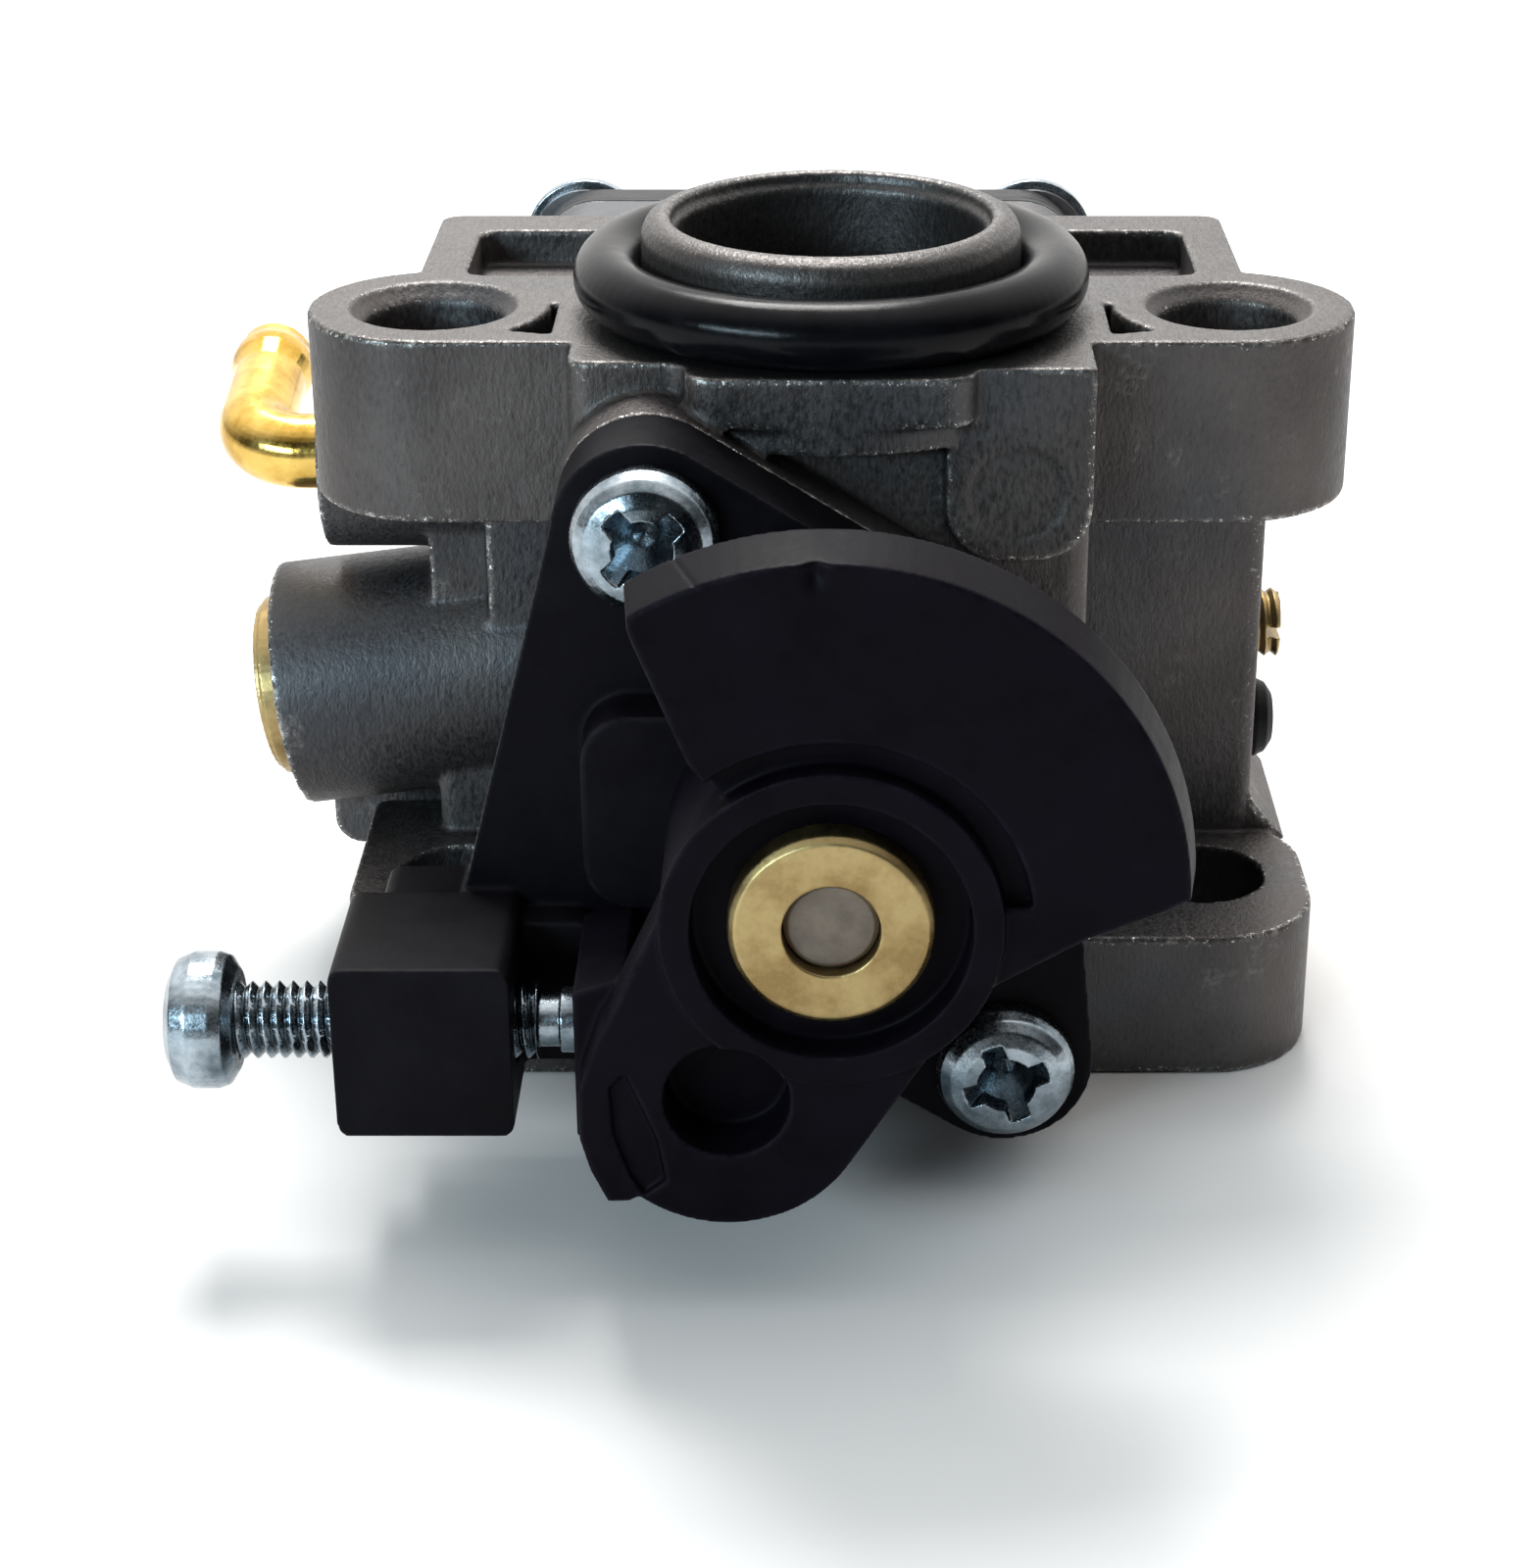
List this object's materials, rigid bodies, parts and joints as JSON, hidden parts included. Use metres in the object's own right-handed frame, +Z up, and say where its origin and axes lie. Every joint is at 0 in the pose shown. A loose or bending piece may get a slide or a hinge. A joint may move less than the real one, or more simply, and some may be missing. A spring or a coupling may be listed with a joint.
{
  "type": "carburetor",
  "caption": "Rotary-barrel diaphragm carburetor for a small two-stroke engine: die-cast body, two stud flanges, sealed engine collar, throttle lever and brass fuel elbow.",
  "frame": {"origin": "centre of the air bore, on the face of the lower flange", "axes": "+Z up the air passage to the engine collar, -Y towards the throttle lever, +X to the right seen from the lever's side, away from the fuel elbow"},
  "size_m": [0.0469, 0.0469, 0.0347],
  "materials": {
    "cast_body": "die-cast, matt grain, dark grey",
    "o_ring": "smooth moulded rubber",
    "nozzle_brass": "turned",
    "jet_brass": "turned",
    "elbow_brass": "polished",
    "screen_wire": "woven wire",
    "plug_brass": "turned",
    "threaded_brass": "threaded",
    "cap_rubber": "moulded rubber",
    "cover_plastic": "glass-filled black plastic, satin",
    "zinc_screws": "bright zinc plate",
    "seal_felt": "felt ring",
    "idle_screw_zinc": "blue zinc plate",
    "washer_steel": "stamped",
    "spring_steel": "drawn wire",
    "barrel_metal": "turned",
    "lever_plastic": "black plastic, satin",
    "sleeve_brass": "turned face, slightly stained",
    "needle_brass": "turned",
    "needle_spring_steel": "drawn wire",
    "needle_plug_plastic": "moulded",
    "gasket_paper": "pressed fibre",
    "pump_membrane": "coated fabric",
    "metering_cast": "die-cast, machined faces",
    "check_brass": "turned",
    "pin_steel": "ground",
    "pin_screw_steel": "zinc plate",
    "arm_steel": "stamped",
    "arm_spring_steel": "drawn wire",
    "valve_steel": "turned",
    "gasket_paper_2": "pressed fibre",
    "metering_membrane": "coated fabric",
    "button_steel": "stamped",
    "back_cover_metal": "black passivated plate",
    "back_screws_zinc": "bright zinc plate",
    "lock_washer_zinc": "zinc plate"
  },
  "bodies": {
    "housing": {"body_casting": "cast_body", "intake_o_ring": "o_ring", "main_nozzle": "nozzle_brass", "main_jet": "jet_brass", "fuel_inlet_elbow": "elbow_brass", "inlet_screen": "screen_wire", "boss_plug": "plug_brass", "passage_plug": "threaded_brass", "rubber_cap": "cap_rubber", "throttle_cover": "cover_plastic", "throttle_cover_screws": "zinc_screws", "dust_seal": "seal_felt", "return_spring": "spring_steel", "pump_gasket": "gasket_paper", "pump_diaphragm": "pump_membrane", "metering_body": "metering_cast", "check_valve": "check_brass", "metering_lever_pin": "pin_steel", "pin_screw": "pin_screw_steel", "metering_spring": "arm_spring_steel", "metering_gasket": "gasket_paper_2", "metering_diaphragm": "metering_membrane", "metering_cover": "back_cover_metal", "metering_cover_screws": "back_screws_zinc", "lock_washers": "lock_washer_zinc"},
    "lift": {"thrust_washer": "washer_steel"},
    "throttle": {"throttle_barrel": "barrel_metal", "throttle_lever": "lever_plastic", "needle_sleeve": "sleeve_brass", "metering_needle": "needle_brass", "needle_spring": "needle_spring_steel", "needle_plug": "needle_plug_plastic"},
    "idle_screw": {"idle_speed_screw": "idle_screw_zinc"},
    "metering_arm": {"metering_lever": "arm_steel"},
    "inlet_valve": {"inlet_needle": "valve_steel"},
    "diaphragm_centre": {"diaphragm_button": "button_steel"}
  },
  "joints": [
    {"name": "throttle_lift", "type": "slide", "parent": "housing", "child": "lift", "axis": [0, -1, 0], "range_m": [0, 0.0015], "stiffness_N_per_m": 600, "springref_m": -0.002, "deforming": ["return_spring"]},
    {"name": "throttle_turn", "type": "hinge", "parent": "lift", "child": "throttle", "pos_m": [0, 0, 0.0156], "axis": [0, -1, 0], "range_deg": [0, 75]},
    {"name": "idle_screw_turn", "type": "hinge", "parent": "housing", "child": "idle_screw", "pos_m": [-0.02, -0.0173, 0.0088], "axis": [1, 0, 0], "range_deg": [-90, 90]},
    {"name": "metering_arm_turn", "type": "hinge", "parent": "housing", "child": "metering_arm", "pos_m": [-0.001, 0.0174, 0.01225], "axis": [1, 0, 0], "range_deg": [0, 6], "deforming": ["metering_spring"]},
    {"name": "inlet_needle_slide", "type": "slide", "parent": "housing", "child": "inlet_valve", "axis": [0, 1, 0], "range_m": [0, 0.0003]},
    {"name": "diaphragm_travel", "type": "slide", "parent": "housing", "child": "diaphragm_centre", "axis": [0, -1, 0], "range_m": [0, 0.00046], "stiffness_N_per_m": 200, "springref_m": -0.0008, "deforming": ["metering_diaphragm"]}
  ],
  "couplings": [
    {"joint": "throttle_turn", "follows": "throttle_lift", "rad_per_m": 872.6},
    {"joint": "metering_arm_turn", "follows": "diaphragm_travel", "rad_per_m": 227.2},
    {"joint": "inlet_needle_slide", "follows": "diaphragm_travel", "ratio": 0.636}
  ]
}
